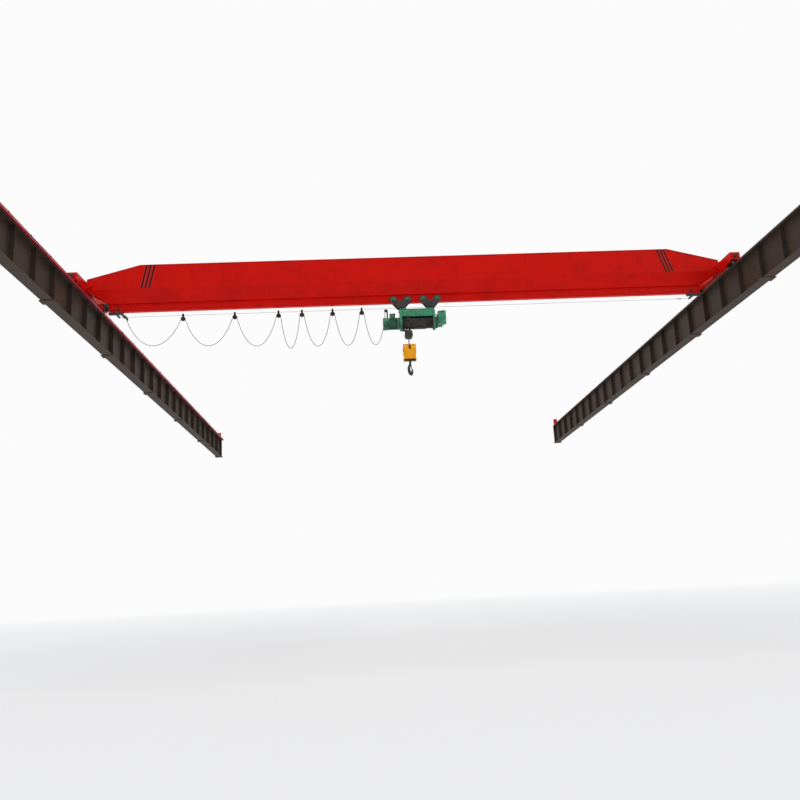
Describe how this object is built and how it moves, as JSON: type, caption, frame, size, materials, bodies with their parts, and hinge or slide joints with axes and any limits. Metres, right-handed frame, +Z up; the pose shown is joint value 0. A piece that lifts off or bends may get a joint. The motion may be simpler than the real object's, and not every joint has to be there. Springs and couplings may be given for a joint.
{
  "type": "single girder overhead bridge crane",
  "caption": "Single girder overhead travelling crane: tapered red girder on end carriages, green rope hoist with hook block, festoon cable and both runway beams.",
  "frame": {"origin": "underside of the left runway's seat plate at a column line, on the rail's centre line", "axes": "+X across the hall to the right runway, +Y along the runways away from the picture's viewer, +Z up"},
  "size_m": [19.92, 30, 3.6686],
  "materials": {
    "block_paint": "orange-yellow enamel",
    "buffer_rubber": "matt black rubber",
    "cable_rubber": "grey rubber cable sheath",
    "conductor_plastic": "dark red insulating sleeve",
    "dark_steel": "black oiled steel",
    "girder_paint": "gloss red-orange enamel",
    "hoist_paint": "green hammer enamel",
    "rail_steel": "rolled rail steel, bright on the running face",
    "rope_steel": "greased wire rope",
    "runway_paint": "matt dark grey-brown primer",
    "zinc": "zinc plated"
  },
  "bodies": {
    "runway": {"runway_beam_left": "runway_paint", "runway_beam_right": "runway_paint", "crane_rails": "rail_steel", "rail_clips": "dark_steel", "web_stiffeners": "runway_paint", "seat_plates": "runway_paint", "end_stops": "girder_paint", "conductor_bar": "conductor_plastic", "conductor_brackets": "dark_steel"},
    "bridge": {"carriage_left": "girder_paint", "carriage_right": "girder_paint", "carriage_buffers": "buffer_rubber", "girder_top_plate": "girder_paint", "girder_web_front": "girder_paint", "girder_web_back": "girder_paint", "girder_slant_front": "girder_paint", "girder_slant_back": "girder_paint", "girder_beam": "girder_paint", "girder_ends": "girder_paint", "trolley_stops": "dark_steel", "travel_drives": "dark_steel", "current_collector": "dark_steel", "festoon_wire": "zinc", "festoon_cable": "cable_rubber"},
    "wheel_left_front": {"wheel_left_front": "dark_steel"},
    "wheel_left_back": {"wheel_left_back": "dark_steel"},
    "wheel_right_front": {"wheel_right_front": "dark_steel"},
    "wheel_right_back": {"wheel_right_back": "dark_steel"},
    "hoist": {"hoist_end_frames": "hoist_paint", "hoist_casing": "hoist_paint", "rope_guide": "dark_steel", "rope_anchor": "dark_steel", "limit_switch": "dark_steel", "hoist_motor": "hoist_paint", "gearbox": "hoist_paint", "control_box": "hoist_paint", "trolley_frames": "dark_steel", "towing_arm": "dark_steel", "rope_falls": "rope_steel"},
    "trolley_axle_1": {"trolley_wheels_1": "hoist_paint"},
    "trolley_axle_2": {"trolley_wheels_2": "hoist_paint"},
    "trolley_axle_3": {"trolley_wheels_3": "hoist_paint"},
    "trolley_axle_4": {"trolley_wheels_4": "hoist_paint"},
    "drum": {"rope_drum": "dark_steel"},
    "hook_block": {"block_housing": "block_paint", "hook_crosshead": "dark_steel"},
    "sheave": {"block_sheave": "dark_steel"},
    "hook": {"hook": "dark_steel"},
    "latch": {"hook_latch": "zinc"},
    "carrier_1": {"cable_carrier_1": "dark_steel"},
    "carrier_2": {"cable_carrier_2": "dark_steel"},
    "carrier_3": {"cable_carrier_3": "dark_steel"},
    "carrier_4": {"cable_carrier_4": "dark_steel"},
    "carrier_5": {"cable_carrier_5": "dark_steel"},
    "carrier_6": {"cable_carrier_6": "dark_steel"},
    "cable_end": {"cable_clamp": "dark_steel"}
  },
  "joints": [
    {"name": "bridge_travel", "type": "slide", "parent": "runway", "child": "bridge", "axis": [0, 1, 0], "range_m": [-6.28, 20.48]},
    {"name": "hoist_travel", "type": "slide", "parent": "bridge", "child": "hoist", "axis": [1, 0, 0], "range_m": [-6.79, 7.69], "deforming": ["festoon_cable"]},
    {"name": "hook_lift", "type": "slide", "parent": "hoist", "child": "hook_block", "axis": [0, 0, 1], "range_m": [-7.5, 0.15], "deforming": ["rope_falls"]},
    {"name": "hook_swivel", "type": "hinge", "parent": "hook_block", "child": "hook", "pos_m": [9.656, 2.5, -1.526], "axis": [0, 0, 1], "continuous": true},
    {"name": "wheel_left_front_spin", "type": "hinge", "parent": "bridge", "child": "wheel_left_front", "pos_m": [0, 1.8, 1.2895], "axis": [1, 0, 0], "continuous": true},
    {"name": "wheel_left_back_spin", "type": "hinge", "parent": "bridge", "child": "wheel_left_back", "pos_m": [0, 4, 1.2895], "axis": [1, 0, 0], "continuous": true},
    {"name": "wheel_right_front_spin", "type": "hinge", "parent": "bridge", "child": "wheel_right_front", "pos_m": [19.5, 1.8, 1.2895], "axis": [1, 0, 0], "continuous": true},
    {"name": "wheel_right_back_spin", "type": "hinge", "parent": "bridge", "child": "wheel_right_back", "pos_m": [19.5, 4, 1.2895], "axis": [1, 0, 0], "continuous": true},
    {"name": "trolley_axle_1_spin", "type": "hinge", "parent": "hoist", "child": "trolley_axle_1", "pos_m": [9.251, 2.5, 0.6775], "axis": [0, 1, 0], "continuous": true},
    {"name": "trolley_axle_2_spin", "type": "hinge", "parent": "hoist", "child": "trolley_axle_2", "pos_m": [9.681, 2.5, 0.6775], "axis": [0, 1, 0], "continuous": true},
    {"name": "trolley_axle_3_spin", "type": "hinge", "parent": "hoist", "child": "trolley_axle_3", "pos_m": [10.151, 2.5, 0.6775], "axis": [0, 1, 0], "continuous": true},
    {"name": "trolley_axle_4_spin", "type": "hinge", "parent": "hoist", "child": "trolley_axle_4", "pos_m": [10.581, 2.5, 0.6775], "axis": [0, 1, 0], "continuous": true},
    {"name": "drum_spin", "type": "hinge", "parent": "hoist", "child": "drum", "pos_m": [9.916, 2.5, -0.066], "axis": [1, 0, 0], "continuous": true},
    {"name": "sheave_spin", "type": "hinge", "parent": "hook_block", "child": "sheave", "pos_m": [9.656, 2.5, -0.926], "axis": [1, 0, 0], "continuous": true},
    {"name": "carrier_1_slide", "type": "slide", "parent": "bridge", "child": "carrier_1", "axis": [1, 0, 0], "range_m": [-1.57098, 1.77908]},
    {"name": "carrier_2_slide", "type": "slide", "parent": "carrier_1", "child": "carrier_2", "axis": [1, 0, 0], "range_m": [-1.39098, 1.57522]},
    {"name": "carrier_3_slide", "type": "slide", "parent": "carrier_2", "child": "carrier_3", "axis": [1, 0, 0], "range_m": [-1.161, 1.31476]},
    {"name": "carrier_4_slide", "type": "slide", "parent": "carrier_3", "child": "carrier_4", "axis": [1, 0, 0], "range_m": [-0.55099, 0.62389]},
    {"name": "carrier_5_slide", "type": "slide", "parent": "carrier_4", "child": "carrier_5", "axis": [1, 0, 0], "range_m": [-0.77099, 0.87305]},
    {"name": "carrier_6_slide", "type": "slide", "parent": "carrier_5", "child": "carrier_6", "axis": [1, 0, 0], "range_m": [-0.73099, 0.82775]},
    {"name": "cable_end_slide", "type": "slide", "parent": "carrier_6", "child": "cable_end", "axis": [1, 0, 0], "range_m": [-0.62099, 0.70317]},
    {"name": "latch_pivot", "type": "hinge", "parent": "hook", "child": "latch", "pos_m": [9.677, 2.53637, -1.376], "axis": [-0.866, 0.5, 0], "range_deg": [0, 32], "stiffness_Nm_per_rad": 2, "springref_deg": -11.46}
  ],
  "couplings": [
    {"joint": "wheel_left_front_spin", "follows": "bridge_travel", "rad_per_m": -7.4074},
    {"joint": "wheel_left_back_spin", "follows": "bridge_travel", "rad_per_m": -7.4074},
    {"joint": "wheel_right_front_spin", "follows": "bridge_travel", "rad_per_m": -7.4074},
    {"joint": "wheel_right_back_spin", "follows": "bridge_travel", "rad_per_m": -7.4074},
    {"joint": "trolley_axle_1_spin", "follows": "hoist_travel", "rad_per_m": 11.765},
    {"joint": "trolley_axle_2_spin", "follows": "hoist_travel", "rad_per_m": 11.765},
    {"joint": "trolley_axle_3_spin", "follows": "hoist_travel", "rad_per_m": 11.765},
    {"joint": "trolley_axle_4_spin", "follows": "hoist_travel", "rad_per_m": 11.765},
    {"joint": "drum_spin", "follows": "hook_lift", "rad_per_m": 11.05},
    {"joint": "sheave_spin", "follows": "hook_lift", "rad_per_m": 5.5249},
    {"joint": "carrier_1_slide", "follows": "hoist_travel", "ratio": 0.23122},
    {"joint": "carrier_2_slide", "follows": "hoist_travel", "ratio": 0.20471},
    {"joint": "carrier_3_slide", "follows": "hoist_travel", "ratio": 0.17084},
    {"joint": "carrier_4_slide", "follows": "hoist_travel", "ratio": 0.081},
    {"joint": "carrier_5_slide", "follows": "hoist_travel", "ratio": 0.1134},
    {"joint": "carrier_6_slide", "follows": "hoist_travel", "ratio": 0.10751},
    {"joint": "cable_end_slide", "follows": "hoist_travel", "ratio": 0.09131}
  ]
}
